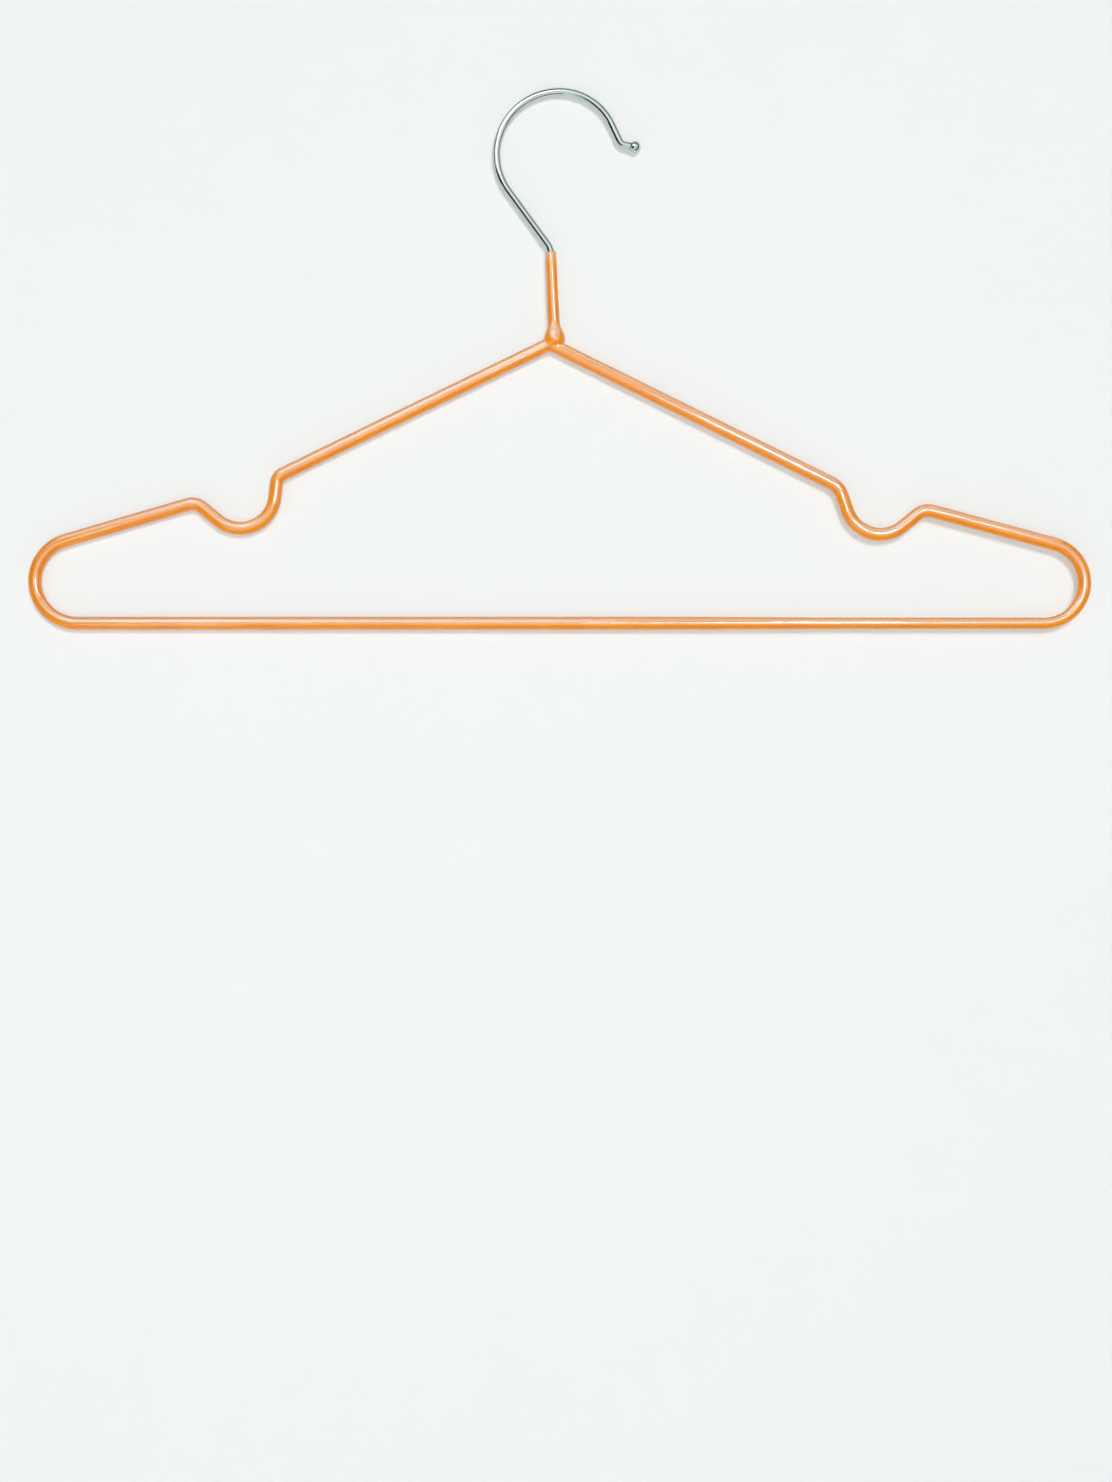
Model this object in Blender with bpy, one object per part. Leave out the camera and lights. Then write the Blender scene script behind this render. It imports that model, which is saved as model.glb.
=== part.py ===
"""Trouser hanger: one bent steel wire, welded to the foot of a bright hook and dipped in a soft orange coat.

Every wire is bent in one upright plane, x across and z up, and y is the thickness. The origin is the inside
of the hook's crown, where the hanger rests on a rail. Lengths are in metres and angles in degrees. Radii of
bends and lengths of runs are those of the wire's centreline. Left and right are as seen from the front.
"""

import math

import bmesh
import bpy
from mathutils import Matrix, Vector

# Wires, and the clearance between pieces that touch
core_diameter = 0.0032
hook_wire_diameter = 0.0030
fit_gap = 0.0003

# Walls of the coat: on the frame, and on the neck at its foot and at its rim
coat_wall = 0.0007
sleeve_foot_wall = 0.0006
sleeve_rim_wall = 0.0003
sleeve_length = 0.0347

# Hook, from the crown over to the tip
hook_front_radius = 0.0228
hook_front_angle = 64.8
mouth_run = 0.0070
lip_radius = 0.0032
lip_angle = 56.0
tip_run = 0.0038
ball_overhang = 0.00075

# Hook, from the crown back to the foot that is welded to the frame
hook_back_radius = 0.0248
hook_back_angle = 126.2
shank_run = 0.0256
neck_bend_radius = 0.0080
neck_bend_angle = 33.7
neck_run = 0.0335

# Weld bead round the foot of the hook
bead_wall = 0.0013
bead_rise = 0.0042
bead_drop = 0.0018

# Frame
overall_width = 0.4195
frame_height = 0.1103
apex_to_foot = 0.0019
apex_to_middle = 0.0039

# Left side of the frame, along the wire from the bar to the arm
left_end_radius = 0.0167
left_shoulder_angle = 16.3
left_shoulder_run = 0.0504
left_peak_radius = 0.0062
left_rise_angle = 39.5
left_rise_run = 0.0080
left_valley_radius = 0.0138
left_wall_angle = 6.5
left_wall_run = 0.0057
left_corner_radius = 0.0047

# Right side of the frame, along the wire from the bar to the arm
right_end_radius = 0.0159
right_shoulder_angle = 15.1
right_shoulder_run = 0.0497
right_peak_radius = 0.0073
right_rise_angle = 39.5
right_rise_run = 0.0071
right_valley_radius = 0.0138
right_wall_angle = 19.1
right_wall_run = 0.0065
right_corner_radius = 0.0086

# Fineness of the surfaces, and how far a cut runs past the face it opens
bend_step_angle = 10.0
sharp_angle = 40.0
outer_sides = 16
inner_sides = 12
cut_overrun = 0.002

core_radius = core_diameter / 2
hook_wire_radius = hook_wire_diameter / 2
core_bore_radius = core_radius + fit_gap
hook_bore_radius = hook_wire_radius + fit_gap
coated_radius = core_bore_radius + coat_wall
bead_radius = hook_bore_radius + bead_wall
ball_radius = hook_wire_radius + ball_overhang

left_sizes = (
    left_end_radius, left_shoulder_angle, left_shoulder_run, left_peak_radius, left_rise_angle,
    left_rise_run, left_valley_radius, left_wall_angle, left_wall_run, left_corner_radius,
)
right_sizes = (
    right_end_radius, right_shoulder_angle, right_shoulder_run, right_peak_radius, right_rise_angle,
    right_rise_run, right_valley_radius, right_wall_angle, right_wall_run, right_corner_radius,
)


class BentWire:
    """The centreline of a wire, laid out run by run and bend by bend as on a wire bender."""

    def __init__(self, start, heading):
        self.points = [Vector(start)]
        self.heading = math.radians(heading)

    def run(self, length):
        """A straight stretch."""
        along = Vector((math.cos(self.heading), math.sin(self.heading)))
        self.points.append(self.points[-1] + along * length)

    def bend(self, radius, angle):
        """A round bend, to the left for a positive angle and to the right for a negative one."""
        turn = math.radians(angle)
        centre = self.centre_on_left(math.copysign(radius, turn))
        spoke = self.points[-1] - centre
        steps = max(1, math.ceil(abs(angle) / bend_step_angle))
        for step in range(1, steps + 1):
            self.points.append(centre + Matrix.Rotation(turn * step / steps, 2) @ spoke)
        self.heading += turn

    def bend_left_and_run_to(self, radius, goal):
        """A bend to the left until the wire points at the goal, and the straight run to it."""
        to_goal = goal - self.centre_on_left(radius)
        heading = math.atan2(to_goal.y, to_goal.x) + math.asin(radius / to_goal.length)
        self.bend(radius, math.degrees((heading - self.heading) % math.tau))
        self.points.append(goal.copy())

    def centre_on_left(self, radius):
        return self.points[-1] + Vector((-math.sin(self.heading), math.cos(self.heading))) * radius


def line_length(points):
    return sum((after - before).length for before, after in zip(points, points[1:]))


def below(foot, up_the_neck, depth):
    """A point in line with the neck, that far below the foot."""
    return foot + (foot - up_the_neck[1]).normalized() * depth


def first_stretch(points, length):
    """The start of a line, cut off square at a length along it."""
    kept = [points[0]]
    for point in points[1:]:
        step = point - kept[-1]
        if step.length >= length:
            kept.append(kept[-1] + step.normalized() * length)
            break
        kept.append(point)
        length -= step.length
    return kept


def lay_hook_front():
    """From the crown to the middle of the ball."""
    wire = BentWire((0, hook_wire_radius), 0)
    wire.bend(hook_front_radius, -hook_front_angle)
    wire.run(mouth_run)
    wire.bend(lip_radius, lip_angle)
    wire.run(tip_run)
    return wire


def lay_hook_back():
    """From the crown down to the foot."""
    wire = BentWire((0, hook_wire_radius), 180)
    wire.bend(hook_back_radius, hook_back_angle)
    wire.run(shank_run)
    wire.bend(neck_bend_radius, -neck_bend_angle)
    wire.run(neck_run)
    return wire


def lay_frame_side(middle, apex, side, sizes):
    """Half of the frame, from the middle of the bar out round the end, through the notch and in to the apex.

    It is laid out to the right of x = 0, and turned over where side is -1.
    """
    (end_radius, shoulder_angle, shoulder_run, peak_radius, rise_angle, rise_run,
     valley_radius, wall_angle, wall_run, corner_radius) = sizes
    wire = BentWire((0, middle.y), 0)
    wire.run(overall_width / 2 - coated_radius - end_radius)
    wire.bend(end_radius, 180 - shoulder_angle)
    wire.run(shoulder_run)
    wire.bend(peak_radius, shoulder_angle + rise_angle)
    wire.run(rise_run)
    wire.bend(valley_radius, -(90 + rise_angle - wall_angle))
    wire.run(wall_run)
    wire.bend_left_and_run_to(corner_radius, Vector(((apex.x - middle.x) * side, apex.y)))
    return [Vector((middle.x + side * point.x, point.y)) for point in wire.points]


def lay_frame(foot):
    """The frame's line from the apex round by the left end, the bar and the right end, back to the apex."""
    apex = foot - Vector((apex_to_foot, core_radius))
    middle = apex + Vector((apex_to_middle, -frame_height))
    left = lay_frame_side(middle, apex, -1, left_sizes)
    right = lay_frame_side(middle, apex, 1, right_sizes)
    return left[:0:-1] + right[1:]


def cut_ends_back(line, clearance):
    """The same line with both ends shortened, so that square cut wires stand that far apart at the apex."""
    ends = []
    for end, inner in ((line[0], line[1]), (line[-1], line[-2])):
        arm = (inner - end).normalized()
        ends.append(end + arm * (core_radius * abs(arm.y) + clearance / 2) / abs(arm.x))
    return [ends[0]] + line[1:-1] + [ends[1]]


def tube(points, radii, sides, closed=False):
    """A round tube along points in the xz plane, mitred at each point, with flat ends unless it is closed."""
    mesh = bmesh.new()
    count = len(points)
    rings = []
    for index, (point, radius) in enumerate(zip(points, radii)):
        before = points[index - 1] if index or closed else None
        after = points[(index + 1) % count] if closed or index + 1 < count else None
        into = (point - before if before else after - point).normalized()
        out = (after - point if after else point - before).normalized()
        along = (into + out).normalized()
        across = Vector((-along.y, along.x)) * radius / along.dot(into)
        ring = []
        for side in range(sides):
            angle = math.tau * (side + 0.5) / sides
            place = point + across * math.cos(angle)
            ring.append(mesh.verts.new((place.x, radius * math.sin(angle), place.y)))
        rings.append(ring)
    for near, far in zip(rings, rings[1:] + rings[:1] * closed):
        for side in range(sides):
            onward = (side + 1) % sides
            mesh.faces.new((near[side], near[onward], far[onward], far[side]))
    if not closed:
        mesh.faces.new(rings[0])
        mesh.faces.new(rings[-1])
    bmesh.ops.recalc_face_normals(mesh, faces=mesh.faces)
    return mesh


def even_tube(points, radius, sides, closed=False):
    return tube(points, [radius] * len(points), sides, closed)


def egg(centre, radius, rise, drop):
    """A ball that reaches further up and less far down than it does sideways."""
    mesh = bmesh.new()
    bmesh.ops.create_uvsphere(mesh, u_segments=outer_sides, v_segments=inner_sides, radius=1)
    for vert in mesh.verts:
        height = rise if vert.co.z > 0 else drop
        vert.co = Vector((centre.x + vert.co.x * radius, vert.co.y * radius, centre.y + vert.co.z * height))
    return mesh


def weld_shape(foot, allowance):
    """The bead's outside, made larger all round by an allowance."""
    return egg(foot, bead_radius + allowance, bead_rise + allowance, bead_drop + allowance)


def finish(name, colour, roughness, metallic):
    """A material of one colour, roughness and metallic value."""
    material = bpy.data.materials.new(name)
    material.use_nodes = True
    shader = material.node_tree.nodes["Principled BSDF"]
    shader.inputs["Base Color"].default_value = (*colour, 1)
    shader.inputs["Roughness"].default_value = roughness
    shader.inputs["Metallic"].default_value = metallic
    material.diffuse_color = (*colour, 1)
    return material


def add_piece(name, shape, material=None):
    """A new object from a bmesh, shaded smooth except at its sharp edges."""
    mesh = bpy.data.meshes.new(name)
    shape.to_mesh(mesh)
    shape.free()
    mesh.shade_smooth()
    mesh.set_sharp_from_angle(angle=math.radians(sharp_angle))
    if material:
        mesh.materials.append(material)
    piece = bpy.data.objects.new(name, mesh)
    bpy.context.scene.collection.objects.link(piece)
    return piece


def combine(piece, operation, name, shape):
    """Join a shape to a piece, or cut it out of the piece, with a guide that stays hidden."""
    guide = add_piece(name, shape)
    guide.hide_render = True
    guide.display_type = "WIRE"
    boolean = piece.modifiers.new(name, "BOOLEAN")
    boolean.operation = operation
    boolean.solver = "EXACT"
    boolean.object = guide


def add_hook(front, back, plate):
    """The hook's wire, and the ball that is butt welded to its tip on a flat spot as wide as the wire."""
    flat_depth = math.sqrt(ball_radius**2 - hook_wire_radius**2)
    tip_length = line_length(front.points) - flat_depth - fit_gap
    hook_line = back.points[:0:-1] + first_stretch(front.points, tip_length)
    add_piece("hook_wire", even_tube(hook_line, hook_wire_radius, outer_sides), plate)

    ball = bmesh.new()
    bmesh.ops.create_uvsphere(ball, u_segments=outer_sides, v_segments=inner_sides, radius=ball_radius)
    bmesh.ops.bisect_plane(
        ball,
        geom=ball.verts[:] + ball.edges[:] + ball.faces[:],
        plane_co=(0, 0, -flat_depth),
        plane_no=(0, 0, -1),
        clear_outer=True,
    )
    bmesh.ops.holes_fill(ball, edges=ball.edges)
    hook_ball = add_piece("hook_ball", ball, plate)
    middle = front.points[-1]
    hook_ball.location = (middle.x, 0, middle.y)
    hook_ball.rotation_euler = (0, math.tau / 4 - front.heading, 0)


def add_frame_wire(frame_line, steel):
    """The core of the frame, one wire whose two square ends stand apart at the apex."""
    add_piece("frame_wire", even_tube(cut_ends_back(frame_line, fit_gap), core_radius, inner_sides), steel)


def add_neck_weld(foot, up_the_neck, frame_line, steel):
    """The bead, which saddles the ends of the frame wire and rings the hook's foot that stands on them."""
    bead = add_piece("neck_weld", weld_shape(foot, 0), steel)
    seat = even_tube(cut_ends_back(frame_line, -fit_gap), core_bore_radius, inner_sides)
    combine(bead, "DIFFERENCE", "frame_wire_seat_guide", seat)
    up_the_foot = first_stretch(up_the_neck, bead_rise + cut_overrun)[1:]
    foot_bore = [below(foot, up_the_neck, bead_drop + cut_overrun)] + up_the_foot
    combine(bead, "DIFFERENCE", "hook_foot_seat_guide", even_tube(foot_bore, hook_bore_radius, inner_sides))


def sleeve(up_the_neck):
    """The coat on the neck, which thins evenly up to a rim with a rounded edge."""
    round_off = sleeve_rim_wall / 2
    below_rim = first_stretch(up_the_neck, sleeve_length - round_off)
    points = below_rim + first_stretch(up_the_neck, sleeve_length)[-1:]
    radii = []
    for count in range(1, len(below_rim) + 1):
        rim_share = line_length(points[:count]) / sleeve_length
        wall = sleeve_foot_wall + (sleeve_rim_wall - sleeve_foot_wall) * rim_share
        radii.append(hook_bore_radius + wall)
    return tube(points, radii + [hook_bore_radius + sleeve_rim_wall - round_off], outer_sides)


def add_coat(foot, up_the_neck, frame_line, neck_bore, plastic):
    """One skin over the frame, the weld and the neck, hollow along the wires and open at the neck's rim."""
    loop = frame_line[:-1]
    coat = add_piece("coat", even_tube(loop, coated_radius, outer_sides, closed=True), plastic)
    combine(coat, "UNION", "sleeve_guide", sleeve(up_the_neck))
    combine(coat, "UNION", "weld_cover_guide", weld_shape(foot, fit_gap + coat_wall))
    frame_bore = even_tube(loop, core_bore_radius, inner_sides, closed=True)
    combine(coat, "DIFFERENCE", "frame_wire_bore_guide", frame_bore)
    combine(coat, "DIFFERENCE", "neck_bore_guide", even_tube(neck_bore, hook_bore_radius, inner_sides))
    combine(coat, "DIFFERENCE", "weld_bore_guide", weld_shape(foot, fit_gap))


def build():
    for thing in list(bpy.data.objects):
        bpy.data.objects.remove(thing)

    orange_coat = finish("orange_coat", (0.88, 0.30, 0.06), 0.28, 0)
    bare_steel = finish("bare_steel", (0.42, 0.42, 0.43), 0.45, 1)
    weld_steel = finish("weld_steel", (0.25, 0.24, 0.24), 0.55, 1)
    bright_plate = finish("bright_plate", (0.80, 0.81, 0.82), 0.10, 1)

    front = lay_hook_front()
    back = lay_hook_back()
    foot = back.points[-1]
    up_the_neck = back.points[::-1]
    frame_line = lay_frame(foot)
    up_the_sleeve = first_stretch(up_the_neck, sleeve_length + cut_overrun)[1:]
    neck_bore = [below(foot, up_the_neck, fit_gap)] + up_the_sleeve

    add_hook(front, back, bright_plate)
    add_frame_wire(frame_line, bare_steel)
    add_neck_weld(foot, up_the_neck, frame_line, weld_steel)
    add_coat(foot, up_the_neck, frame_line, neck_bore, orange_coat)


build()
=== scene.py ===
"""Looks of the trouser hanger: its dipped orange coat, its bright hook and ball, and the steel wire inside.

Every wire is bent in one upright plane, x across and z up, and y is the thickness. The origin is the inside
of the hook's crown. Lengths are in metres and angles in degrees. The names and values of the wires' sizes are
those of the construction. Left and right are as seen from the front, where -y is.
"""

import math

import bmesh
import bpy
from mathutils import Matrix, Vector, noise


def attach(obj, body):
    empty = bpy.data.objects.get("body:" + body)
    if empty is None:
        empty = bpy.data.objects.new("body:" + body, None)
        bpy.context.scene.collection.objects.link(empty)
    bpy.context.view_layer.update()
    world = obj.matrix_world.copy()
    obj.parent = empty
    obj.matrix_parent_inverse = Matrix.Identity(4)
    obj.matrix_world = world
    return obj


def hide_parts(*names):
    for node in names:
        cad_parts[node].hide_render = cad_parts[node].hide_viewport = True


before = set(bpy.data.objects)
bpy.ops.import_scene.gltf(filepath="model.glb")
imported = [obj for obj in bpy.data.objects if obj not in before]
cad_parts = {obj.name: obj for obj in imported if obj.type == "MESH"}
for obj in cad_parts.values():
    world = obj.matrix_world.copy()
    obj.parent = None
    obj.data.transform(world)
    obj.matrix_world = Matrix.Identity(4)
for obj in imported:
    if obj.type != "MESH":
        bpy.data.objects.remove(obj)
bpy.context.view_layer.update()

# Wires, and the clearance between pieces that touch
core_diameter = 0.0032
hook_wire_diameter = 0.0030
fit_gap = 0.0003

# Walls of the coat: on the frame, and on the neck at its foot and at its rim
coat_wall = 0.0007
sleeve_foot_wall = 0.0006
sleeve_rim_wall = 0.0003
sleeve_length = 0.0347

# Hook, from the crown over to the tip
hook_front_radius = 0.0228
hook_front_angle = 64.8
mouth_run = 0.0070
lip_radius = 0.0032
lip_angle = 56.0
tip_run = 0.0038
ball_overhang = 0.00075

# Hook, from the crown back to the foot that is welded to the frame
hook_back_radius = 0.0248
hook_back_angle = 126.2
shank_run = 0.0256
neck_bend_radius = 0.0080
neck_bend_angle = 33.7
neck_run = 0.0335

# Weld bead round the foot of the hook
bead_wall = 0.0013
bead_rise = 0.0042
bead_drop = 0.0018

# Frame
overall_width = 0.4195
frame_height = 0.1103
apex_to_foot = 0.0019
apex_to_middle = 0.0039

# Each side of the frame along the wire, from the bar to the arm: radius of the end, angle and run of the
# shoulder, radius of the peak, angle and run of the rise out of it, radius of the valley, angle and run of
# the valley's wall, radius of the corner
left_sizes = (0.0167, 16.3, 0.0504, 0.0062, 39.5, 0.0080, 0.0138, 6.5, 0.0057, 0.0047)
right_sizes = (0.0159, 15.1, 0.0497, 0.0073, 39.5, 0.0071, 0.0138, 19.1, 0.0065, 0.0086)

# Coat: how thin it ran on the right of the bar, how uneven it is, and how its skin runs over the weld
bar_thinning = 0.00032
bar_thin_from = 0.035
bar_thin_to = 0.130
bar_thin_height = 0.014
unevenness = 0.00002
uneven_length = 0.011
rim_even_to = 0.002
rim_uneven_from = 0.006
arm_fillet = 0.0011
bulge_fillet = 0.0030
bore_fillet = 0.0004
arm_joint = 0.0120
neck_joint = 0.0115
lip_height = 0.00045
lip_clearance = 0.00004
lip_depth = 0.0010
lip_edge_depth = lip_depth / 3

# Ball: the crease round the spot where it is welded to the wire
crease_depth = 0.00016
crease_width = 0.00022
weld_clearance = 0.00002
chamfer = 0.00012

# Finish of the coat: its oranges, how far from the rim it is thin and pale, how wide the blotches of each of
# its patterns are, and how deep its waves are
orange_deep = (0.840, 0.250, 0.003, 1)
orange_light = (0.875, 0.280, 0.005, 1)
orange_mottled = (0.900, 0.330, 0.025, 1)
orange_thin = (0.880, 0.420, 0.230, 1)
orange_rubbed = (0.930, 0.600, 0.420, 1)
rim_thin_to = 0.0021
rim_thin_end = 0.0058
coat_blotch_size = 0.018
coat_mottle_size = 0.0022
rub_size = 0.0035
wave_size = 0.0060
peel_size = 0.0011
wave_depth = 0.00005

# Finish of the plating: clean, smudged and pitted, the tint towards its edges, how wide its drawn lines,
# smudges, pits and ripples are, and how deep they are
plate_clean = (0.660, 0.735, 0.720, 1)
plate_smudged = (0.580, 0.645, 0.630, 1)
plate_pitted = (0.38, 0.41, 0.40, 1)
plate_edge_tint = (0.35, 0.40, 0.39, 1)
drawn_line_size = 0.00016
smudge_size = 0.0045
pit_size = 0.0006
ripple_size = 0.0022
ripple_depth = 0.000005

# Finish of the steel inside: colour, tint and roughness of the drawn wire and of the weld, how bright the dark
# blotches are beside the rest, how wide the blotches, tinted patches and grains are, and how deep the grains
drawn_finish = ((0.42, 0.42, 0.43), (0.36, 0.24, 0.15), 0.35)
welded_finish = ((0.25, 0.24, 0.24), (0.20, 0.16, 0.26), 0.45)
dark_blotch_share = 0.6
steel_blotch_size = 0.004
steel_tint_size = 0.0018
grain_size = 0.0004
grain_depth = 0.00002

# Fineness of the surfaces, how short a step gives a line's direction, and how the skin over the weld is found
bend_step_angle = 3.0
ring_spacing = 0.0021
short_step = ring_spacing / 10
joint_ring_spacing = 0.0005
skin_search_steps = 40
smallest_slope = 1e-9
coat_sides = 40
hook_sides = 40
lip_steps = 6
crease_steps = 6
ball_steps = 24
sharp_angle = 40.0
merge_distance = 0.00001

# Camera: as high as the middle of the picture, level, and square to the wires
camera_place = (-0.00135, -0.8125, -0.2548)
camera_lens = 50.0
camera_sensor = 36.0

# Stage: a pale backdrop close behind the wires, which falls away a little downwards and to the right, a pale
# floor, how much of their colour is shown as it is, and their faint mottle. A dark card in front, low on the
# left, and a dark band round the sides and the top are seen only in reflections.
backdrop_line = 0.0036
backdrop_lean = -0.006
backdrop_turn = 0.006
floor_line = -0.75
stage_reach = 4.0
backdrop_colour = (0.886, 0.916, 0.914)
floor_colour = (0.870, 0.885, 0.875)
shown_share = 0.28
paint_mottle_size = 0.05
paint_mottle_share = 0.985
dark_card_place = (-43, -13, 0.9)
dark_card_size = (0.74, 0.80)
dark_card_colour = (0.018, 0.028, 0.027, 1)
dark_band_radius = 0.62
dark_band_depth = 0.34
dark_band_start = -95
dark_band_end = 185
dark_band_sides = 48
dark_band_colour = (0.025, 0.033, 0.032, 1)

# Lamps: name, direction from the middle of the hanger to the right and up, distance, width and height, turn
# and radiance. The key throws the shadow, the fills light without one, and the gloss lamp lights nothing and
# shows in reflections.
stage_aim = Vector((0.0, 0.0, -0.12))
key_lamp = ("key", (8, 11.5, 2.2), (0.50, 0.50), 0, 32.5)
fill_lamps = [
    ("front", (-22, -16, 1.5), (2.20, 1.00), 0, 0.55),
    ("low_front", (-25, -30, 1.1), (1.60, 0.60), 0, 0.65),
]
gloss_lamp = ("left_window", (-22, 34, 1.4), (1.10, 0.50), -36, 2.4)

# Lamps that show as a sheen on the coat alone, all of one tint. One is overhead, given as the others above,
# and the rest stand upright in front of the hanger: name, place, width and height, turn and radiance.
sheen_colour = (0.16, 0.78, 1.0)
overhead_sheen = ("overhead_sheen", (0, 75, 0.40), (1.00, 0.40), 0, 5.0)
front_sheen = [
    ("window_sheen", (-0.20, -0.90, 0.75), (0.50, 1.20), 0, 8.0),
    ("far_left_sheen", (-1.05, -0.90, 1.25), (1.20, 1.90), 0, 4.6),
    ("right_sheen", (0.70, -0.90, 1.00), (1.30, 1.50), 0, 3.2),
    ("far_right_sheen", (1.90, -0.90, -0.10), (1.60, 0.35), 0, 3.2),
    ("level_left_sheen", (-0.20, -0.90, -0.02), (0.42, 0.34), 0, 4.6),
    ("level_right_sheen", (0.70, -0.90, -0.12), (0.80, 0.30), 0, 4.2),
    ("low_sheen", (-0.02, -0.90, -0.33), (0.90, 0.28), 0, 3.4),
    ("lower_sheen", (-0.05, -0.90, -0.60), (0.90, 0.26), 0, 1.8),
    ("arm_sheen", (-0.005, -0.90, -0.18), (0.10, 0.53), 25.5, 5.6),
    ("weld_sheen", (0.0, -0.90, -0.56), (0.20, 0.36), 0, 5.0),
    ("loop_sheen", (-0.325, -0.40, -0.165), (0.17, 0.06), 0, 3.0),
    ("bar_sheen", (-0.255, -0.40, -0.43), (0.10, 0.34), 0, 4.5),
    ("high_bar_sheen", (-0.255, -0.40, 0.235), (0.10, 0.43), 0, 4.5),
    ("long_line", (0.224, -0.90, -0.003), (0.59, 0.070), 31, 56.0),
    ("loop_line", (0.19, -0.90, -0.13), (0.10, 0.07), 0, 40.0),
    ("bar_line", (0.310, -0.90, -0.14), (0.20, 0.12), 0, 30.0),
    ("neck_line", (0.245, -0.90, 0.130), (0.10, 0.10), 0, 75.0),
]

# Fill light on the object, and the background that the camera and the bright pieces see
fill_colour = (1.0, 1.0, 1.0, 1.0)
fill_strength = 0.17
background_colour = (0.896, 0.913, 0.905, 1.0)

core_radius = core_diameter / 2
hook_wire_radius = hook_wire_diameter / 2
core_bore_radius = core_radius + fit_gap
hook_bore_radius = hook_wire_radius + fit_gap
coated_radius = core_bore_radius + coat_wall
bead_radius = hook_bore_radius + bead_wall
ball_radius = hook_wire_radius + ball_overhang


class BentWire:
    """The centreline of a wire, laid out run by run and bend by bend as on a wire bender."""

    def __init__(self, start, heading):
        self.points = [Vector(start)]
        self.heading = math.radians(heading)

    def direction(self):
        return Vector((math.cos(self.heading), math.sin(self.heading)))

    def run(self, length):
        """A straight stretch."""
        start = self.points[-1]
        steps = max(1, round(length / ring_spacing))
        for step in range(1, steps + 1):
            self.points.append(start + self.direction() * length * step / steps)

    def bend(self, radius, angle):
        """A round bend, to the left for a positive angle and to the right for a negative one."""
        turn = math.radians(angle)
        centre = self.centre_on_left(math.copysign(radius, turn))
        spoke = self.points[-1] - centre
        steps = max(1, math.ceil(abs(angle) / bend_step_angle))
        for step in range(1, steps + 1):
            self.points.append(centre + Matrix.Rotation(turn * step / steps, 2) @ spoke)
        self.heading += turn

    def bend_left_and_run_to(self, radius, goal):
        """A bend to the left until the wire points at the goal, and the straight run to it."""
        to_goal = goal - self.centre_on_left(radius)
        heading = math.atan2(to_goal.y, to_goal.x) + math.asin(radius / to_goal.length)
        self.bend(radius, math.degrees((heading - self.heading) % math.tau))
        self.run((goal - self.points[-1]).length)

    def centre_on_left(self, radius):
        return self.points[-1] + Vector((-math.sin(self.heading), math.cos(self.heading))) * radius


def lay_hook_front():
    """From the crown to the middle of the ball."""
    wire = BentWire((0, hook_wire_radius), 0)
    wire.bend(hook_front_radius, -hook_front_angle)
    wire.run(mouth_run)
    wire.bend(lip_radius, lip_angle)
    wire.run(tip_run)
    return wire


def lay_hook_back():
    """From the crown down to the foot."""
    wire = BentWire((0, hook_wire_radius), 180)
    wire.bend(hook_back_radius, hook_back_angle)
    wire.run(shank_run)
    wire.bend(neck_bend_radius, -neck_bend_angle)
    wire.run(neck_run)
    return wire


def lay_frame_side(middle, apex, side, sizes):
    """Half of the frame, from the middle of the bar out round the end, through the notch and in to the apex.

    It is laid out to the right of x = 0, and turned over where side is -1.
    """
    (end_radius, shoulder_angle, shoulder_run, peak_radius, rise_angle, rise_run,
     valley_radius, wall_angle, wall_run, corner_radius) = sizes
    wire = BentWire((0, middle.y), 0)
    wire.run(overall_width / 2 - coated_radius - end_radius)
    wire.bend(end_radius, 180 - shoulder_angle)
    wire.run(shoulder_run)
    wire.bend(peak_radius, shoulder_angle + rise_angle)
    wire.run(rise_run)
    wire.bend(valley_radius, -(90 + rise_angle - wall_angle))
    wire.run(wall_run)
    wire.bend_left_and_run_to(corner_radius, Vector(((apex.x - middle.x) * side, apex.y)))
    return [Vector((middle.x + side * point.x, point.y)) for point in wire.points]


def lay_frame(apex, middle):
    """The frame's line from the apex round by the left end, the bar and the right end, back to the apex."""
    left = lay_frame_side(middle, apex, -1, left_sizes)
    right = lay_frame_side(middle, apex, 1, right_sizes)
    return left[:0:-1] + right[1:]


def line_length(points):
    return sum((after - before).length for before, after in zip(points, points[1:]))


def stretch(points, start, end):
    """The part of a line between two distances along it."""
    kept = []
    travelled = 0
    for before, after in zip(points, points[1:]):
        step = (after - before).length
        for goal in (start, end):
            if travelled <= goal < travelled + step:
                kept.append(before.lerp(after, (goal - travelled) / step))
        travelled += step
        if start < travelled < end:
            kept.append(after)
    if end >= travelled:
        kept.append(points[-1])
    return kept


def smooth_share(value, start, end):
    """From 0 at the start to 1 at the end, with no corner at either."""
    share = min(max((value - start) / (end - start), 0), 1)
    return share * share * (3 - 2 * share)


def upright(point):
    """A point of the wires' plane as a point in space."""
    return Vector((point.x, 0, point.y))


class Socket:
    """An output of a node. Sums with it add Math nodes to its tree."""

    def __init__(self, nodes, output):
        self.nodes = nodes
        self.output = output

    def other(self, name):
        """Another output of the same node."""
        return Socket(self.nodes, self.nodes.find(self.output.node.outputs, name))

    def work_out(self, operation, first, second):
        return self.nodes.add("ShaderNodeMath", {"operation": operation}, {0: first, 1: second})

    def __add__(self, value):
        return self.work_out("ADD", self, value)

    __radd__ = __add__

    def __sub__(self, value):
        return self.work_out("SUBTRACT", self, value)

    def __rsub__(self, value):
        return self.work_out("SUBTRACT", value, self)

    def __mul__(self, value):
        return self.work_out("MULTIPLY", self, value)

    __rmul__ = __mul__

    def larger(self, value):
        return self.work_out("MAXIMUM", self, value)


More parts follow.
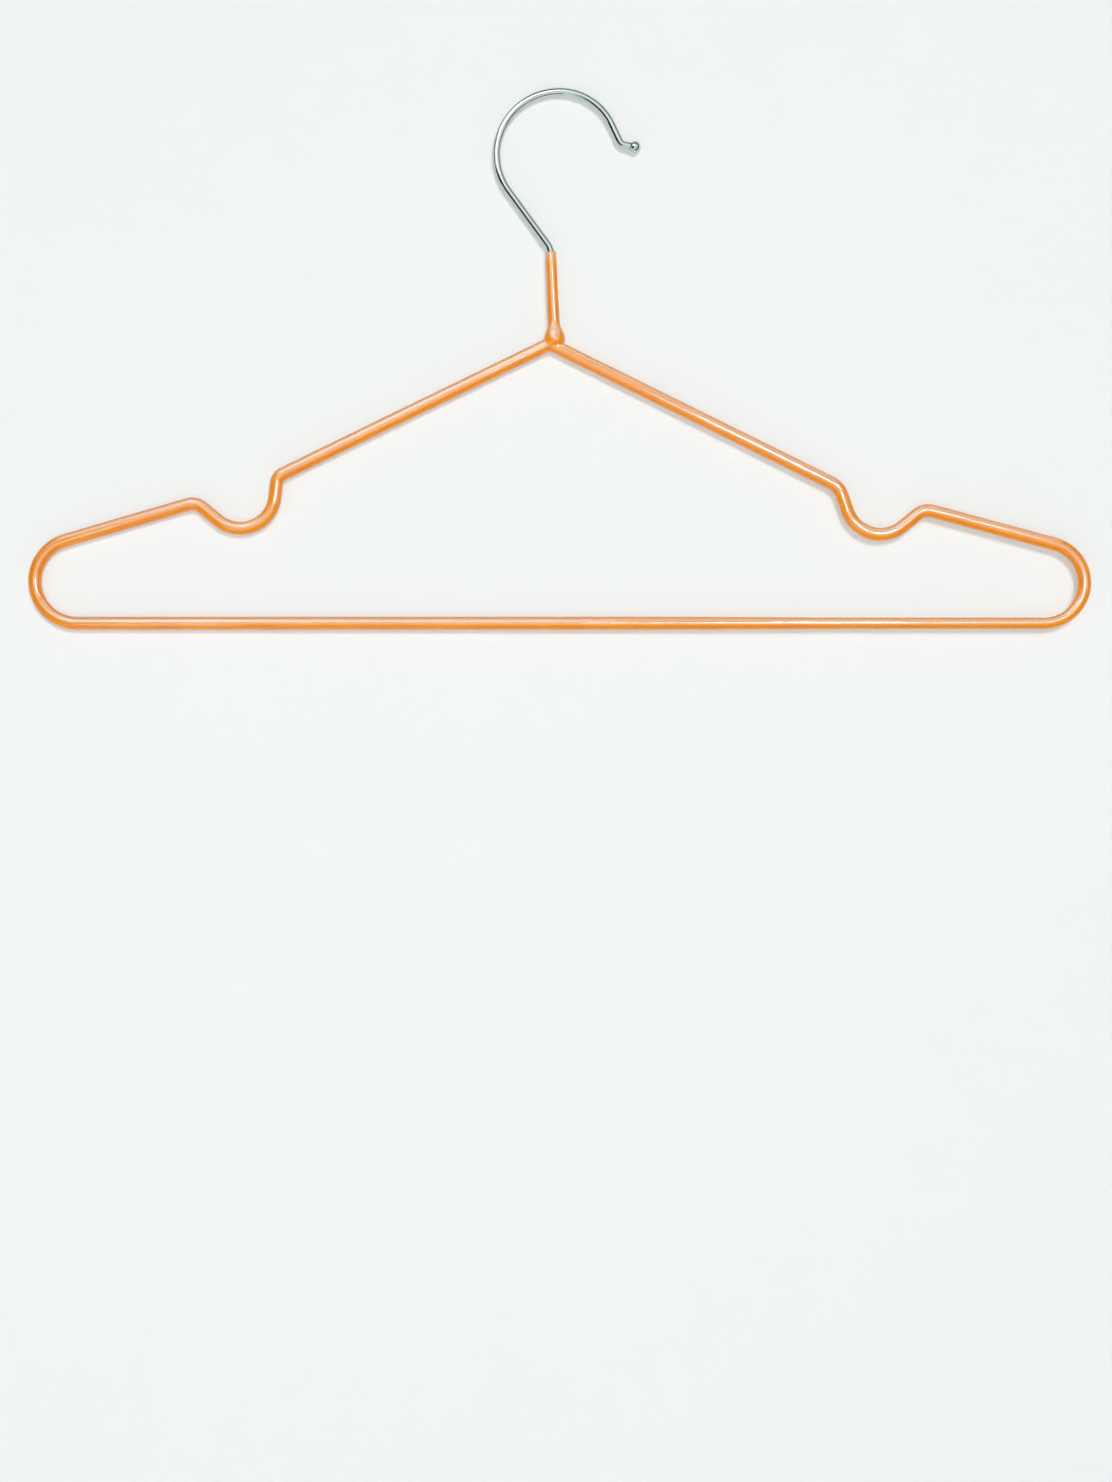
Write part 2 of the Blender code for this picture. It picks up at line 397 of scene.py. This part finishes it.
class Nodes:
    """A node tree, and the one way in which nodes are added to it."""

    def __init__(self, tree):
        self.tree = tree

    @staticmethod
    def find(sockets, key):
        """A socket by its number, or by its name among those in use."""
        if isinstance(key, int):
            return sockets[key]
        return next(socket for socket in sockets if socket.name == key and socket.enabled)

    def add(self, kind, settings=None, sockets=None, output=0):
        """A node of a kind, with its settings and its sockets' values or links. It gives back one output."""
        node = self.tree.nodes.new(kind)
        for name, value in (settings or {}).items():
            setattr(node, name, value)
        for key, value in (sockets or {}).items():
            socket = self.find(node.inputs, key)
            if isinstance(value, Socket):
                self.tree.links.new(value.output, socket)
            else:
                socket.default_value = value
        return Socket(self, self.find(node.outputs, output)) if node.outputs else node

    def pattern(self, place, size, detail=2.0, roughness=0.5):
        """Noise whose blotches are about that wide."""
        sockets = {"Vector": place, "Scale": 1 / size, "Detail": detail, "Roughness": roughness}
        return self.add("ShaderNodeTexNoise", {}, sockets, "Fac")

    def fade(self, value, start, end):
        """From 0 to 1 as the value goes from start to end."""
        sockets = {"Value": value, "From Min": start, "From Max": end}
        return self.add("ShaderNodeMapRange", {"interpolation_type": "SMOOTHSTEP"}, sockets, "Result")

    def mix_colours(self, share, first, second):
        """The first colour at a share of 0, and the second at 1."""
        sockets = {"Factor": share, "A": first, "B": second}
        return self.add("ShaderNodeMix", {"data_type": "RGBA"}, sockets, "Result")

    def stretch_pattern(self, place, scale):
        return self.add("ShaderNodeMapping", {}, {"Vector": place, "Scale": scale})


def material_and_nodes(name):
    material = bpy.data.materials.new(name)
    material.use_nodes = True
    material.node_tree.nodes.clear()
    return material, Nodes(material.node_tree)


def surface(nodes, sockets):
    """The Principled shader with these values and links, on the material's output."""
    shader = nodes.add("ShaderNodeBsdfPrincipled", {}, sockets)
    nodes.add("ShaderNodeOutputMaterial", {}, {"Surface": shader})


def bump(nodes, strength, depth, height):
    """A skin that rises and sinks with a pattern's height."""
    return nodes.add("ShaderNodeBump", {}, {"Strength": strength, "Distance": depth, "Height": height})


def dimmed(colour, share):
    """A colour at a share of its brightness."""
    return tuple(channel * share for channel in colour) + (1,)


def on_the_object(nodes):
    return nodes.add("ShaderNodeTexCoord", {}, {}, "Object")


def along_the_wire(nodes):
    """The place on a swept wire: how far along it is, and where in the wire's section."""
    return nodes.add("ShaderNodeAttribute", {"attribute_name": "wrap"}, {}, "Vector")


def dipped_vinyl(rim):
    """The coat: glossy, a little uneven in depth and colour, with a thin pale edge at the rim of the neck."""
    material, nodes = material_and_nodes("dipped_vinyl")
    place = on_the_object(nodes)
    blotches = nodes.fade(nodes.pattern(place, coat_blotch_size, 3.0), 0.35, 0.65)
    mottle = nodes.pattern(place, coat_mottle_size, 4.0)
    rub_place = nodes.stretch_pattern(place, (1.0, 1.0, 2.2))
    rub = nodes.fade(nodes.pattern(rub_place, rub_size, 6.0, 0.62), 0.60, 0.72)
    from_rim = nodes.add("ShaderNodeVectorMath", {"operation": "DISTANCE"}, {0: place, 1: rim}, "Value")
    thin = 1 - nodes.fade(from_rim, rim_thin_to, rim_thin_end)
    colour = nodes.mix_colours(blotches, orange_deep, orange_light)
    colour = nodes.mix_colours(nodes.fade(mottle, 0.40, 0.75) * 0.15, colour, orange_mottled)
    colour = nodes.mix_colours(thin * 0.55, colour, orange_thin)
    colour = nodes.mix_colours(rub * 0.10, colour, orange_rubbed)
    waves = nodes.pattern(place, wave_size, 1.0)
    peel = nodes.pattern(place, peel_size, 2.0)
    surface(nodes, {
        "Base Color": colour,
        "Roughness": 0.30 + mottle * 0.06 + rub * 0.12,
        "IOR": 1.5,
        "Specular IOR Level": 0.1,
        "Coat Weight": 1.0 - rub * 0.3,
        "Coat Roughness": 0.055,
        "Coat IOR": 1.5,
        "Normal": bump(nodes, 1.0, wave_depth, waves * 0.12 + peel * 0.015),
    })
    return material


def bright_plate(name, place_from):
    """Polished plating, with faint lines along the wire where it was drawn, and a trace of handling."""
    material, nodes = material_and_nodes(name)
    place = place_from(nodes)
    lines = nodes.pattern(nodes.stretch_pattern(place, (0.02, 1.0, 1.0)), drawn_line_size, 3.0, 0.6)
    smudge = nodes.fade(nodes.pattern(place, smudge_size, 4.0, 0.6), 0.50, 0.75)
    pits = nodes.fade(nodes.pattern(place, pit_size, 2.0), 0.70, 0.76)
    ripple = nodes.pattern(nodes.stretch_pattern(place, (0.35, 1.0, 1.0)), ripple_size, 2.0)
    colour = nodes.mix_colours(smudge * 0.35, plate_clean, plate_smudged)
    colour = nodes.mix_colours(pits * 0.5, colour, plate_pitted)
    surface(nodes, {
        "Base Color": colour,
        "Metallic": 1.0,
        "Specular Tint": plate_edge_tint,
        "Roughness": 0.06 + lines * 0.05 + smudge * 0.07,
        "Normal": bump(nodes, 1.0, ripple_depth, ripple + lines * 0.05 - pits * 0.2),
    })
    return material


def inner_steel(name, colour, tint, roughness):
    """Unplated steel: grey with darker blotches, a trace of a tint and a slightly rough skin."""
    material, nodes = material_and_nodes(name)
    place = on_the_object(nodes)
    blotches = nodes.fade(nodes.pattern(place, steel_blotch_size, 4.0, 0.6), 0.40, 0.70)
    grains = nodes.pattern(place, grain_size, 3.0, 0.6)
    tinted = nodes.fade(nodes.pattern(place, steel_tint_size, 5.0, 0.65), 0.55, 0.75)
    body = nodes.mix_colours(blotches * 0.6, (*colour, 1), dimmed(colour, dark_blotch_share))
    surface(nodes, {
        "Base Color": nodes.mix_colours(tinted * 0.4, body, (*tint, 1)),
        "Metallic": 1.0 - tinted * 0.3,
        "Roughness": roughness + blotches * 0.15 + grains * 0.1,
        "Normal": bump(nodes, 0.6, grain_depth, grains),
    })
    return material


def store(nodes, geometry, kind, name, value):
    """A geometry whose points carry a value under a name."""
    return nodes.add("GeometryNodeStoreNamedAttribute", {"data_type": kind, "domain": "POINT"},
                     {"Geometry": geometry, "Name": name, "Value": value})


def stored(nodes, kind, name):
    return nodes.add("GeometryNodeInputNamedAttribute", {"data_type": kind}, {"Name": name}, "Attribute")


def sweep_tree():
    """The tree that runs a round section along a line, as wide at each point as the line's girth says."""
    tree = bpy.data.node_groups.new("wire_sweep", "GeometryNodeTree")
    inputs = (("Line", "Geometry"), ("Sides", "Int"), ("Closed Ends", "Bool"), ("Material", "Material"))
    for name, kind in inputs:
        tree.interface.new_socket(name, in_out="INPUT", socket_type="NodeSocket" + kind)
    tree.interface.new_socket("Tube", in_out="OUTPUT", socket_type="NodeSocketGeometry")
    nodes = Nodes(tree)
    given = nodes.add("NodeGroupInput", {}, {}, "Line")
    line = nodes.add("GeometryNodeMeshToCurve", {}, {"Mesh": given})
    travelled = nodes.add("GeometryNodeSplineParameter", {}, {}, "Length")
    line = store(nodes, line, "FLOAT", "travelled", travelled)
    girth = stored(nodes, "FLOAT", "girth")
    circle = nodes.add("GeometryNodeCurvePrimitiveCircle", {"mode": "RADIUS"},
                       {"Resolution": given.other("Sides"), "Radius": 1.0}, "Curve")
    round_place = nodes.add("GeometryNodeInputPosition")
    section = store(nodes, circle, "FLOAT_VECTOR", "section", round_place)
    tube = nodes.add("GeometryNodeCurveToMesh", {},
                     {"Curve": line, "Profile Curve": section, "Scale": girth,
                      "Fill Caps": given.other("Closed Ends")})
    across = nodes.add("ShaderNodeSeparateXYZ", {}, {"Vector": stored(nodes, "FLOAT_VECTOR", "section")}, "X")
    wrap = nodes.add("ShaderNodeCombineXYZ", {}, {"X": stored(nodes, "FLOAT", "travelled"),
                                                  "Y": across * girth, "Z": across.other("Y") * girth})
    tube = store(nodes, tube, "FLOAT_VECTOR", "wrap", wrap)
    tube = nodes.add("GeometryNodeRealizeInstances", {}, {"Geometry": tube})
    tube = nodes.add("GeometryNodeSetMaterial", {}, {"Geometry": tube, "Material": given.other("Material")})
    nodes.add("NodeGroupOutput", {}, {"Tube": tube})
    return tree


def add_object(name, data):
    """An object in the scene that holds that mesh, lamp or camera."""
    made = bpy.data.objects.new(name, data)
    bpy.context.scene.collection.objects.link(made)
    return made


def sweep(name, line, radii, sides, material, closed_ends):
    """An object with a plain mesh, the tube of those radii along the line."""
    path = bpy.data.meshes.new(name)
    path.from_pydata([upright(point) for point in line], [(n, n + 1) for n in range(len(line) - 1)], [])
    path.attributes.new("girth", "FLOAT", "POINT").data.foreach_set("value", radii)
    piece = add_object(name, path)
    modifier = piece.modifiers.new(wire_sweep.name, "NODES")
    modifier.node_group = wire_sweep
    given = {"Sides": sides, "Closed Ends": closed_ends, "Material": material}
    for item in wire_sweep.interface.items_tree:
        if item.name in given:
            modifier[item.identifier] = given[item.name]
    evaluated = piece.evaluated_get(bpy.context.evaluated_depsgraph_get())
    mesh = bpy.data.meshes.new_from_object(evaluated)
    piece.modifiers.remove(modifier)
    piece.data = mesh
    bpy.data.meshes.remove(path)
    mesh.name = name
    return piece


def shade(piece):
    piece.data.shade_smooth()
    piece.data.set_sharp_from_angle(angle=math.radians(sharp_angle))


def circle_round(centre, along, radius, sides):
    """Points round a wire, from its front over its left side, seen along it, to its back and on."""
    left = Vector((-along.y, along.x))
    ring = []
    for side in range(sides):
        angle = math.tau * side / sides
        flat = centre + left * radius * math.sin(angle)
        ring.append(Vector((flat.x, -radius * math.cos(angle), flat.y)))
    return ring


def fillet_min(first, second, fillet):
    """The smaller of two distances, eased into one another over the fillet's width."""
    share = max(fillet - abs(first - second), 0) / fillet
    return min(first, second) - share**3 * fillet / 6


class Joint:
    """A skin where the two arms and the neck meet over the weld."""

    def __init__(self, foot, apex, neck, arms, arm_radius, neck_radii, bulge, fillets):
        self.foot = upright(foot)
        self.apex = upright(apex)
        self.neck = upright(neck)
        self.arms = [upright(arm) for arm in arms]
        self.arm_radius = arm_radius
        self.neck_radii = neck_radii
        self.bulge_radius, self.bulge_rise, self.bulge_drop = bulge
        self.arm_fillet, self.bulge_fillet = fillets

    def from_leg(self, point, start, along):
        travelled = max((point - start).dot(along), 0)
        return travelled, (point - start - along * travelled).length

    def from_bulge(self, point):
        reach = point - self.foot
        tall = self.bulge_rise if reach.z > 0 else self.bulge_drop
        share = Vector((reach.x / self.bulge_radius, reach.y / self.bulge_radius, reach.z / tall))
        slope = Vector((share.x / self.bulge_radius, share.y / self.bulge_radius, share.z / tall))
        return share.length * (share.length - 1) / max(slope.length, smallest_slope)

    def height(self, point):
        """How far a point is outside the skin, negative inside it."""
        left, right = (self.from_leg(point, self.apex, arm)[1] - self.arm_radius for arm in self.arms)
        travelled, off_axis = self.from_leg(point, self.foot, self.neck)
        foot_radius, rim_radius = self.neck_radii
        neck = off_axis - foot_radius - (rim_radius - foot_radius) * travelled / sleeve_length
        over_weld = fillet_min(neck, self.from_bulge(point), self.bulge_fillet)
        return fillet_min(fillet_min(left, right, self.arm_fillet), over_weld, self.arm_fillet)

    def out_from(self, inside, goal):
        """Where the way from a point inside towards the goal comes out of the skin."""
        way = (goal - inside).normalized()
        travelled = 0
        for _ in range(skin_search_steps):
            travelled -= self.height(inside + way * travelled)
        return inside + way * travelled


def radius_of_neck(travelled):
    """The coat's radius on the neck, at a distance up from the foot."""
    wall = sleeve_foot_wall + (sleeve_rim_wall - sleeve_foot_wall) * travelled / sleeve_length
    return hook_bore_radius + wall


def radius_of_coat(point):
    """The coat's radius on the frame. It ran thinner on the right of the bar."""
    along_bar = smooth_share(point.x, bar_thin_from, bar_thin_to)
    above_bar = smooth_share(point.y - bar_line, 0, bar_thin_height)
    return coated_radius - bar_thinning * along_bar * (1 - above_bar)


def add_rings(mesh, rings):
    """A band of faces from each ring of points to the next."""
    made = [[mesh.verts.new(point) for point in ring] for ring in rings]
    for near, far in zip(made, made[1:]):
        for side in range(len(near)):
            onward = (side + 1) % len(near)
            mesh.faces.new((near[side], near[onward], far[onward], far[side]))
    return made


def add_joint(mesh, joint, legs, sides):
    """Three sleeves of faces, one out along each leg, that share three seams from the front to the back.

    Each leg is the point where its sleeve ends, its direction and its radius there, and the legs go round
    against the clock.
    """
    middle = (joint.foot + joint.apex) / 2
    half = sides // 2
    seams = []
    for leg, onward in zip(legs, legs[1:] + legs[:1]):
        start = math.atan2(leg[1].y, leg[1].x)
        turn = (math.atan2(onward[1].y, onward[1].x) - start) % math.tau
        sideways = Vector((math.cos(start + turn / 2), 0, math.sin(start + turn / 2)))
        seam = []
        for step in range(half + 1):
            angle = math.pi * step / half
            way = sideways * math.sin(angle) - Vector((0, math.cos(angle), 0))
            seam.append(joint.out_from(middle, middle + way))
        seams.append(seam)
    for number, (end, along, radius) in enumerate(legs):
        last = circle_round(end, along, radius, sides)
        first = seams[number][:half] + seams[number - 1][:0:-1]
        steps = round((upright(end) - middle).length / joint_ring_spacing)
        rings = [first]
        for step in range(1, steps):
            centre = middle.lerp(upright(end), step / steps)
            ways = [near.lerp(far, step / steps) for near, far in zip(first, last)]
            rings.append([joint.out_from(centre, way) for way in ways])
        add_rings(mesh, rings + [last])


def add_tube(mesh, line, radii, sides, material):
    """A swept tube, joined to a mesh, with the rings at its two ends left open."""
    tube = sweep("tube", line, radii, sides, material, False)
    for name in ("girth", "travelled", "section", "wrap"):
        tube.data.attributes.remove(tube.data.attributes[name])
    mesh.from_mesh(tube.data)
    bpy.data.meshes.remove(tube.data)


def make_uneven(mesh, rim):
    """Slow swellings over the coat, which die out at the rim."""
    mesh.normal_update()
    for vert in mesh.verts:
        swell = noise.noise(vert.co / uneven_length)
        share = smooth_share((vert.co - rim).length, rim_even_to, rim_uneven_from)
        vert.co += vert.normal * swell * unevenness * share


def lip_rings(sides):
    """From the outside of the coat at the rim over its rounded edge, and down inside it to the bore."""
    start = sleeve_length - lip_height
    outer = radius_of_neck(start)
    inner = hook_wire_radius + lip_clearance
    sizes = []
    for step in range(lip_steps + 1):
        angle = math.pi / 2 * step / lip_steps
        sizes.append((start + lip_height * math.sin(angle), inner + (outer - inner) * math.cos(angle)))
    sizes.append((sleeve_length - lip_edge_depth, inner))
    sizes.append((sleeve_length - lip_depth, hook_bore_radius))
    rings = []
    for travelled, radius in sizes:
        point, onward = stretch(up_the_neck, travelled, travelled + short_step)[:2]
        rings.append(circle_round(point, (onward - point).normalized(), radius, sides))
    return rings


def legs_of(joint, neck_radius):
    """The right arm, the neck and the left arm, each as far as its sleeve of the joint reaches."""
    left, right = (Vector((arm.x, arm.z)) for arm in joint.arms)
    neck = Vector((joint.neck.x, joint.neck.z))
    return [
        (apex + right * arm_joint, right, joint.arm_radius),
        (foot + neck * neck_joint, neck, neck_radius),
        (apex + left * arm_joint, left, joint.arm_radius),
    ]


def directions_at_the_joint():
    """Up the neck, and out along the left and the right arm."""
    neck = (up_the_neck[1] - up_the_neck[0]).normalized()
    left = (frame_line[1] - frame_line[0]).normalized()
    right = (frame_line[-2] - frame_line[-1]).normalized()
    return neck, (left, right)


def add_skin(mesh, material, arm_radius, neck_radii, bulge, fillets, neck_end, coat_radius, neck_radius):
    """One wall of the coat, its outside or its bore: the joint, the loop of the frame and the neck."""
    neck, arms = directions_at_the_joint()
    joint = Joint(foot, apex, neck, arms, arm_radius, neck_radii, bulge, fillets)
    add_joint(mesh, joint, legs_of(joint, neck_radius(neck_joint)), coat_sides)
    loop = stretch(frame_line, arm_joint, line_length(frame_line) - arm_joint)
    add_tube(mesh, loop, [coat_radius(point) for point in loop], coat_sides, material)
    collar = stretch(up_the_neck, neck_joint, neck_end)
    travelled = [neck_joint + line_length(collar[:count + 1]) for count in range(len(collar))]
    add_tube(mesh, collar, [neck_radius(distance) for distance in travelled], coat_sides, material)
    bmesh.ops.remove_doubles(mesh, verts=mesh.verts, dist=merge_distance)
    bmesh.ops.recalc_face_normals(mesh, faces=mesh.faces)


def make_coat():
    """The coat: one unbroken skin over the frame, the weld and the neck, hollow along its wires."""
    rim = upright(stretch(up_the_neck, 0, sleeve_length)[-1])
    vinyl = dipped_vinyl(rim)
    skin = bmesh.new()
    cover = fit_gap + coat_wall
    add_skin(
        skin, vinyl, coated_radius, (radius_of_neck(0), radius_of_neck(sleeve_length)),
        (bead_radius + cover, bead_rise + cover, bead_drop + cover), (arm_fillet, bulge_fillet),
        sleeve_length - lip_height, radius_of_coat, radius_of_neck,
    )
    make_uneven(skin, rim)
    add_rings(skin, lip_rings(coat_sides))
    bore = bmesh.new()
    add_skin(
        bore, vinyl, core_bore_radius, (hook_bore_radius, hook_bore_radius),
        (bead_radius + fit_gap, bead_rise + fit_gap, bead_drop + fit_gap), (bore_fillet, bore_fillet),
        sleeve_length - lip_depth, lambda point: core_bore_radius, lambda travelled: hook_bore_radius,
    )
    bore_mesh = bpy.data.meshes.new("bore")
    bore.to_mesh(bore_mesh)
    bore.free()
    skin.from_mesh(bore_mesh)
    bpy.data.meshes.remove(bore_mesh)
    return closed_piece("dipped_coat", skin, vinyl)


def closed_piece(name, mesh, material):
    """An object from a mesh whose seams are merged. It stops the script where a seam is still open."""
    bmesh.ops.remove_doubles(mesh, verts=mesh.verts, dist=merge_distance)
    open_edges = sum(not edge.is_manifold for edge in mesh.edges)
    if open_edges:
        raise ValueError(f"{name} has {open_edges} open edges")
    bmesh.ops.recalc_face_normals(mesh, faces=mesh.faces)
    data = bpy.data.meshes.new(name)
    mesh.to_mesh(data)
    mesh.free()
    data.materials.append(material)
    piece = add_object(name, data)
    shade(piece)
    return piece


def make_hook_wire():
    """The hook's wire from its foot in the weld over the crown to its tip, with both ends chamfered."""
    tip_length = line_length(front.points) - flat_depth - fit_gap
    line = back.points[:0:-1] + stretch(front.points, 0, tip_length)
    length = line_length(line)
    line = [line[0]] + stretch(line, chamfer, length - chamfer) + [line[-1]]
    radii = [hook_wire_radius] * len(line)
    radii[0] = radii[-1] = hook_wire_radius - chamfer
    wire = sweep("hook_wire_bright", line, radii, hook_sides, bright_plate("bright_wire", along_the_wire), True)
    shade(wire)
    return wire


def make_ball():
    """The ball, turned round the line of the tip: a short collar on the wire, the crease, and the ball."""
    line_up = (front.points[-1] - front.points[-2]).normalized()
    collar_end = -flat_depth - fit_gap + weld_clearance
    profile = [(collar_end, hook_wire_radius - chamfer), (collar_end + chamfer, hook_wire_radius)]
    for step in range(crease_steps + 1):
        angle = math.pi * step / crease_steps
        across = -flat_depth - crease_width * math.cos(angle) / 2
        profile.append((across, hook_wire_radius - crease_depth * math.sin(angle)))
    start = math.acos(-(flat_depth - crease_width) / ball_radius)
    for step in range(ball_steps):
        angle = start * (1 - step / ball_steps)
        profile.append((ball_radius * math.cos(angle), ball_radius * math.sin(angle)))
    mesh = bmesh.new()
    rings = [circle_round(front.points[-1] + line_up * reach, line_up, radius, hook_sides)
             for reach, radius in profile]
    made = add_rings(mesh, rings)
    mesh.faces.new(made[0])
    pole = mesh.verts.new(upright(front.points[-1] + line_up * ball_radius))
    for side in range(hook_sides):
        mesh.faces.new((made[-1][side], made[-1][(side + 1) % hook_sides], pole))
    return closed_piece("hook_ball_bright", mesh, bright_plate("bright_ball", on_the_object))


def dress(piece, slot, *nodes):
    """Put the piece on its body and hide the model's parts that it stands for. The slot is not used."""
    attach(piece, "root")
    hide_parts(*nodes)


def stage_sheet(name, corners, material, faces=((0, 1, 2, 3),)):
    """A sheet that belongs to the stage."""
    data = bpy.data.meshes.new(name)
    data.from_pydata(corners, [], faces)
    data.materials.append(material)
    sheet = add_object(name, data)
    return sheet


def seen_directly(nodes):
    """1 for what the camera sees, directly, in a reflection or through a clear thing, and 0 for other light."""
    ray = nodes.add("ShaderNodeLightPath", {}, {}, "Is Camera Ray")
    return ray.larger(ray.other("Is Glossy Ray")).larger(ray.other("Is Transmission Ray"))


def paint(name, colour, one_sided):
    """Flat paint with a faint mottle. Where it is one sided, it can't be seen from behind."""
    material, nodes = material_and_nodes(name)
    mottle = nodes.pattern(on_the_object(nodes), paint_mottle_size, 3.0)
    body = nodes.mix_colours(mottle, (*colour, 1), dimmed(colour, paint_mottle_share))
    lit = nodes.add("ShaderNodeBsdfDiffuse", {}, {"Color": body})
    shown = nodes.add("ShaderNodeEmission", {}, {"Color": body, "Strength": 1.0})
    shader = nodes.add("ShaderNodeMixShader", {}, {0: seen_directly(nodes) * shown_share, 1: lit, 2: shown})
    if one_sided:
        behind = nodes.add("ShaderNodeNewGeometry", {}, {}, "Backfacing")
        clear = nodes.add("ShaderNodeBsdfTransparent")
        shader = nodes.add("ShaderNodeMixShader", {}, {0: behind, 1: shader, 2: clear})
    nodes.add("ShaderNodeOutputMaterial", {}, {"Surface": shader})
    return material


def place_and_turn(right, up, distance, turn=0):
    """The place in a direction from the middle of the hanger, and the turn that faces it from there."""
    right, up = math.radians(right), math.radians(up)
    way = Vector((math.sin(right) * math.cos(up), -math.cos(right) * math.cos(up), math.sin(up)))
    facing = (-way).to_track_quat("-Z", "Y").to_matrix() @ Matrix.Rotation(math.radians(turn), 3, "Z")
    return stage_aim + way * distance, facing


def lamp(name, place, facing, size, radiance, lights):
    """A flat soft lamp, as bright as its radiance says. It either lights surfaces or shows in reflections."""
    light = bpy.data.lights.new(name, "AREA")
    light.shape = "RECTANGLE"
    light.size, light.size_y = size
    light.energy = radiance * math.pi * light.size * light.size_y
    holder = add_object(name, light)
    holder.matrix_world = Matrix.Translation(place) @ facing.to_4x4()
    holder.visible_camera = False
    holder.visible_diffuse = lights
    holder.visible_glossy = not lights
    return holder


def aimed_lamp(name, direction, size, turn, radiance, lights):
    """A lamp in a direction from the middle of the hanger, which it faces."""
    place, facing = place_and_turn(*direction, turn)
    return lamp(name, place, facing, size, radiance, lights)


def add_coat_sheen(coat):
    """Broad lamps that show as a sheen and as a bright line on the coat alone."""
    made = [aimed_lamp(*overhead_sheen, False)]
    upright_sheet = Matrix.Rotation(math.radians(90), 3, "X")
    for name, place, size, turn, radiance in front_sheen:
        facing = upright_sheet @ Matrix.Rotation(math.radians(turn), 3, "Z")
        made.append(lamp(name, Vector(place), facing, size, radiance, False))
    lit = bpy.data.collections.new("sheen_on")
    lit.objects.link(coat)
    for holder in made:
        holder.data.color = sheen_colour
        holder.light_linking.receiver_collection = lit


def dark_sheet(name, corners, faces, colour):
    """A dark sheet that only reflections show."""
    material, nodes = material_and_nodes(name)
    dark = nodes.add("ShaderNodeEmission", {}, {"Color": colour, "Strength": 1.0})
    nodes.add("ShaderNodeOutputMaterial", {}, {"Surface": dark})
    sheet = stage_sheet(name, corners, material, faces)
    sheet.visible_camera = False
    sheet.visible_diffuse = False
    sheet.visible_shadow = False


def build_backdrop_and_floor():
    backdrop_paint = paint("backdrop_paint", backdrop_colour, True)
    floor_paint = paint("floor_paint", floor_colour, False)
    reach = stage_reach
    corners = [(x, backdrop_line + backdrop_turn * x + backdrop_lean * z, z)
               for x, z in ((-reach, floor_line), (reach, floor_line), (reach, reach), (-reach, reach))]
    stage_sheet("backdrop", corners, backdrop_paint)
    corners = [(x, y, floor_line)
               for x, y in ((-reach, -reach), (reach, -reach), (reach, reach), (-reach, reach))]
    stage_sheet("floor", corners, floor_paint)


def add_dark_sheets():
    """The dark card and the dark band round the sides and the top."""
    middle, facing = place_and_turn(*dark_card_place)
    wide, tall = dark_card_size
    corners = [middle + facing @ Vector((wide * x / 2, tall * y / 2, 0))
               for x, y in ((-1, -1), (1, -1), (1, 1), (-1, 1))]
    dark_sheet("dark_card", corners, [(0, 1, 2, 3)], dark_card_colour)
    corners = []
    for side in range(dark_band_sides + 1):
        angle = math.radians(dark_band_start + (dark_band_end - dark_band_start) * side / dark_band_sides)
        spoke = stage_aim + Vector((math.cos(angle), 0, math.sin(angle))) * dark_band_radius
        corners += [spoke + Vector((0, backdrop_line, 0)), spoke - Vector((0, dark_band_depth, 0))]
    faces = [(2 * side, 2 * side + 1, 2 * side + 3, 2 * side + 2) for side in range(dark_band_sides)]
    dark_sheet("dark_band", corners, faces, dark_band_colour)


def add_lamps():
    """The key, the gloss lamp and the fills."""
    aimed_lamp(*key_lamp, True)
    aimed_lamp(*gloss_lamp, False)
    for settings in fill_lamps:
        aimed_lamp(*settings, True).data.use_shadow = False


def set_world():
    """The fill light, and the background in its place for what the camera sees."""
    world = bpy.data.worlds.new("studio")
    bpy.context.scene.world = world
    world.use_nodes = True
    world.node_tree.nodes.clear()
    nodes = Nodes(world.node_tree)
    fill = nodes.add("ShaderNodeBackground", {}, {"Color": fill_colour, "Strength": fill_strength})
    shown = nodes.add("ShaderNodeBackground", {}, {"Color": background_colour, "Strength": 1.0})
    both = nodes.add("ShaderNodeMixShader", {}, {0: seen_directly(nodes), 1: fill, 2: shown})
    nodes.add("ShaderNodeOutputWorld", {}, {"Surface": both})


def place_camera():
    camera_data = bpy.data.cameras.new("camera")
    camera_data.lens = camera_lens
    camera_data.sensor_width = camera_sensor
    camera = add_object("camera", camera_data)
    camera.location = camera_place
    camera.rotation_euler = (math.radians(90), 0, 0)
    bpy.context.scene.camera = camera


front = lay_hook_front()
back = lay_hook_back()
foot = back.points[-1]
up_the_neck = back.points[::-1]
apex = foot - Vector((apex_to_foot, core_radius))
bar_middle = apex + Vector((apex_to_middle, -frame_height))
bar_line = bar_middle.y
frame_line = lay_frame(apex, bar_middle)
flat_depth = math.sqrt(ball_radius**2 - hook_wire_radius**2)
wire_sweep = sweep_tree()

place_camera()
build_backdrop_and_floor()
add_dark_sheets()
add_lamps()
set_world()

coat = make_coat()
add_coat_sheen(coat)
dress(coat, "orange_coat", "coat")
dress(make_hook_wire(), "bright_plate", "hook_wire")
dress(make_ball(), "bright_plate", "hook_ball")
drawn = inner_steel("drawn_steel", *drawn_finish)
welded = inner_steel("welded_steel", *welded_finish)
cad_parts["frame_wire"].material_slots[0].material = drawn
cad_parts["neck_weld"].material_slots[0].material = welded

bpy.context.scene.view_settings.view_transform = "Standard"
